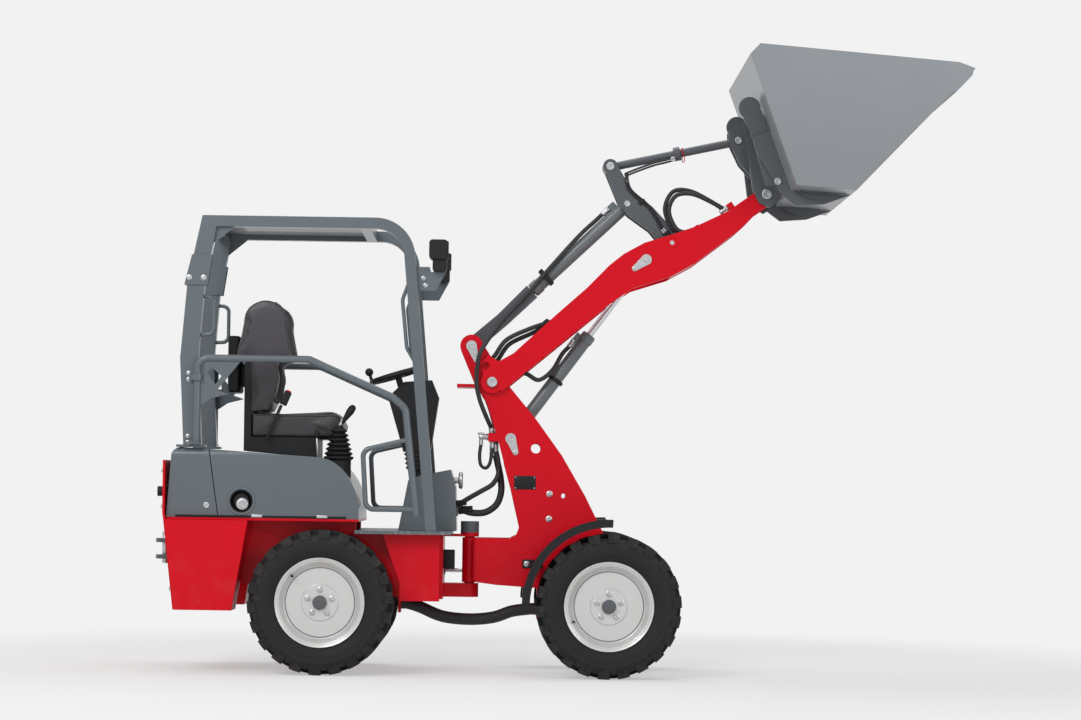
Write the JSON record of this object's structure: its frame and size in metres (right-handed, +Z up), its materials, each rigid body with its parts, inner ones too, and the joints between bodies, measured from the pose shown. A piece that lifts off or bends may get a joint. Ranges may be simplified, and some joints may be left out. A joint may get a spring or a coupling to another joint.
{
  "type": "compact articulated wheel loader",
  "caption": "Compact articulated wheel loader with a raised loader arm, parallel bucket linkage, light-goods bucket, driver's protective frame and side gates.",
  "frame": {"origin": "on the ground under the middle of the parked machine's overall length and width", "axes": "+X forward towards the bucket, +Y to the driver's left, +Z up"},
  "size_m": [3.8762, 1.24, 2.9987],
  "materials": {
    "red_paint": "gloss",
    "slate_paint": "satin",
    "anthracite_paint": "satin",
    "bucket_paint": "satin",
    "rim_paint": "satin",
    "bright_steel": "satin",
    "rod_chrome": "polished",
    "tyre_rubber": "matte",
    "hose_rubber": "matte",
    "black_plastic": "matte",
    "seat_vinyl": "matte",
    "engine_iron": "matte"
  },
  "bodies": {
    "rear": {"rear_frame": "red_paint", "deck": "red_paint", "ballast": "red_paint", "tail_plate": "red_paint", "tow_jaw": "anthracite_paint", "engine_block": "engine_iron", "rear_hood": "slate_paint", "seat_hood": "slate_paint", "exhaust": "black_plastic", "fuel_filler": "black_plastic", "rear_axle": "anthracite_paint", "floor_plate": "slate_paint", "console": "slate_paint", "steering_column": "black_plastic", "control_lever": "black_plastic", "seat_base": "black_plastic", "seat_cushion": "seat_vinyl", "seat_back": "seat_vinyl", "rear_posts": "slate_paint", "roof_frame": "slate_paint", "roof_panel": "anthracite_paint", "work_lamps": "black_plastic", "pivot_hoses": "hose_rubber", "drive_hose": "hose_rubber"},
    "front": {"front_frame": "red_paint", "tower_pins": "bright_steel", "front_axle": "anthracite_paint", "front_fenders": "black_plastic", "arm_hoses": "hose_rubber", "lift_hose": "hose_rubber"},
    "steering_wheel": {"steering_wheel": "black_plastic"},
    "gate_right": {"gate_right": "slate_paint"},
    "gate_left": {"gate_left": "slate_paint"},
    "steer_barrel": {"steer_barrel": "anthracite_paint"},
    "steer_rod": {"steer_rod": "rod_chrome"},
    "arm": {"loader_arm": "red_paint", "arm_pins": "bright_steel", "loop_hoses": "hose_rubber"},
    "lever_pin": {"lever_pin": "bright_steel"},
    "lever": {"bell_crank": "anthracite_paint"},
    "link_pin": {"link_pin": "bright_steel"},
    "link": {"tilt_link": "anthracite_paint"},
    "coupler_pin": {"coupler_pin": "bright_steel"},
    "coupler": {"quick_coupler": "anthracite_paint", "bucket": "bucket_paint"},
    "lift_barrel": {"lift_barrel": "anthracite_paint"},
    "lift_rod": {"lift_rod": "rod_chrome"},
    "tilt_rod": {"tilt_rod": "anthracite_paint", "tilt_hose": "hose_rubber"},
    "tilt_barrel": {"tilt_barrel": "anthracite_paint"},
    "wheel_front_right": {"tyre_front_right": "tyre_rubber", "rim_front_right": "rim_paint"},
    "wheel_front_left": {"tyre_front_left": "tyre_rubber", "rim_front_left": "rim_paint"},
    "wheel_rear_right": {"tyre_rear_right": "tyre_rubber", "rim_rear_right": "rim_paint"},
    "wheel_rear_left": {"tyre_rear_left": "tyre_rubber", "rim_rear_left": "rim_paint"}
  },
  "joints": [
    {"name": "steer", "type": "hinge", "parent": "rear", "child": "front", "pos_m": [-0.40208, 0, 0.55], "axis": [0, 0, 1], "range_deg": [-45, 45], "deforming": ["pivot_hoses", "drive_hose"]},
    {"name": "lift", "type": "hinge", "parent": "front", "child": "arm", "pos_m": [-0.30408, 0, 1.412], "axis": [0, -1, 0], "range_deg": [-80, 24], "deforming": ["arm_hoses", "lift_hose", "tilt_hose"]},
    {"name": "bucket_level", "type": "hinge", "parent": "arm", "child": "coupler_pin", "pos_m": [1.01315, 0, 2.34121], "axis": [0, -1, 0], "range_deg": [-25, 81]},
    {"name": "tilt", "type": "hinge", "parent": "coupler_pin", "child": "coupler", "pos_m": [1.01315, 0, 2.34121], "axis": [0, 1, 0], "range_deg": [0, 88], "deforming": ["loop_hoses"]},
    {"name": "lever_level", "type": "hinge", "parent": "arm", "child": "lever_pin", "pos_m": [0.55976, 0, 2.10092], "axis": [0, -1, 0], "range_deg": [-16, 50]},
    {"name": "lever_tilt", "type": "hinge", "parent": "lever_pin", "child": "lever", "pos_m": [0.55976, 0, 2.10092], "axis": [0, 1, 0], "range_deg": [-1, 48]},
    {"name": "link_level", "type": "hinge", "parent": "lever", "child": "link_pin", "pos_m": [0.25774, 0, 2.47656], "axis": [0, -1, 0], "range_deg": [-45, 14]},
    {"name": "link_tilt", "type": "hinge", "parent": "link_pin", "child": "link", "pos_m": [0.25774, 0, 2.47656], "axis": [0, -1, 0], "range_deg": [-1, 25]},
    {"name": "lift_barrel_swing", "type": "hinge", "parent": "front", "child": "lift_barrel", "pos_m": [-0.20908, 0, 1.14], "axis": [0, -1, 0], "range_deg": [-78, 24]},
    {"name": "lift_rod_slide", "type": "slide", "parent": "lift_barrel", "child": "lift_rod", "axis": [0.5922, 0, 0.8058], "range_m": [-0.359, 0.109]},
    {"name": "tilt_rod_swing", "type": "hinge", "parent": "front", "child": "tilt_rod", "pos_m": [-0.40608, 0, 1.588], "axis": [0, -1, 0], "range_deg": [-78, 24]},
    {"name": "tilt_barrel_slide", "type": "slide", "parent": "tilt_rod", "child": "tilt_barrel", "axis": [0.7266, 0, 0.687], "range_m": [-0.002, 0.221]},
    {"name": "steer_barrel_swing", "type": "hinge", "parent": "rear", "child": "steer_barrel", "pos_m": [-0.82208, 0.15, 0.49], "axis": [0, 0, 1], "range_deg": [-5, 5]},
    {"name": "steer_rod_slide", "type": "slide", "parent": "steer_barrel", "child": "steer_rod", "axis": [1, 0, 0], "range_m": [-0.111, 0.111]},
    {"name": "wheel_front_right_spin", "type": "hinge", "parent": "front", "child": "wheel_front_right", "pos_m": [0.26592, -0.392, 0.345], "axis": [0, 1, 0], "continuous": true},
    {"name": "wheel_front_left_spin", "type": "hinge", "parent": "front", "child": "wheel_front_left", "pos_m": [0.26592, 0.392, 0.345], "axis": [0, 1, 0], "continuous": true},
    {"name": "wheel_rear_right_spin", "type": "hinge", "parent": "rear", "child": "wheel_rear_right", "pos_m": [-1.10308, -0.392, 0.345], "axis": [0, 1, 0], "continuous": true},
    {"name": "wheel_rear_left_spin", "type": "hinge", "parent": "rear", "child": "wheel_rear_left", "pos_m": [-1.10308, 0.392, 0.345], "axis": [0, 1, 0], "continuous": true},
    {"name": "gate_right_swing", "type": "hinge", "parent": "rear", "child": "gate_right", "pos_m": [-1.70208, -0.413, 1.1], "axis": [0, 0, -1], "range_deg": [0, 100]},
    {"name": "gate_left_swing", "type": "hinge", "parent": "rear", "child": "gate_left", "pos_m": [-1.70208, 0.413, 1.1], "axis": [0, 0, 1], "range_deg": [0, 100]},
    {"name": "steering_wheel_turn", "type": "hinge", "parent": "rear", "child": "steering_wheel", "pos_m": [-0.76708, 0, 1.445], "axis": [-0.2924, 0, 0.9563], "continuous": true}
  ],
  "couplings": [
    {"joint": "bucket_level", "follows": "lift", "ratio": -1},
    {"joint": "lever_level", "follows": "lift", "ratio": -0.6172},
    {"joint": "lever_tilt", "follows": "tilt", "ratio": 0.5379},
    {"joint": "link_level", "follows": "lift", "ratio": 0.544},
    {"joint": "link_tilt", "follows": "tilt", "ratio": 0.269},
    {"joint": "lift_barrel_swing", "follows": "lift", "ratio": 0.9644},
    {"joint": "lift_rod_slide", "follows": "lift", "m_per_rad": 0.2554},
    {"joint": "tilt_rod_swing", "follows": "lift", "ratio": 0.965},
    {"joint": "tilt_barrel_slide", "follows": "tilt", "m_per_rad": 0.1423},
    {"joint": "steer_barrel_swing", "follows": "steer", "ratio": 0.093},
    {"joint": "steer_rod_slide", "follows": "steer", "m_per_rad": -0.1392}
  ]
}
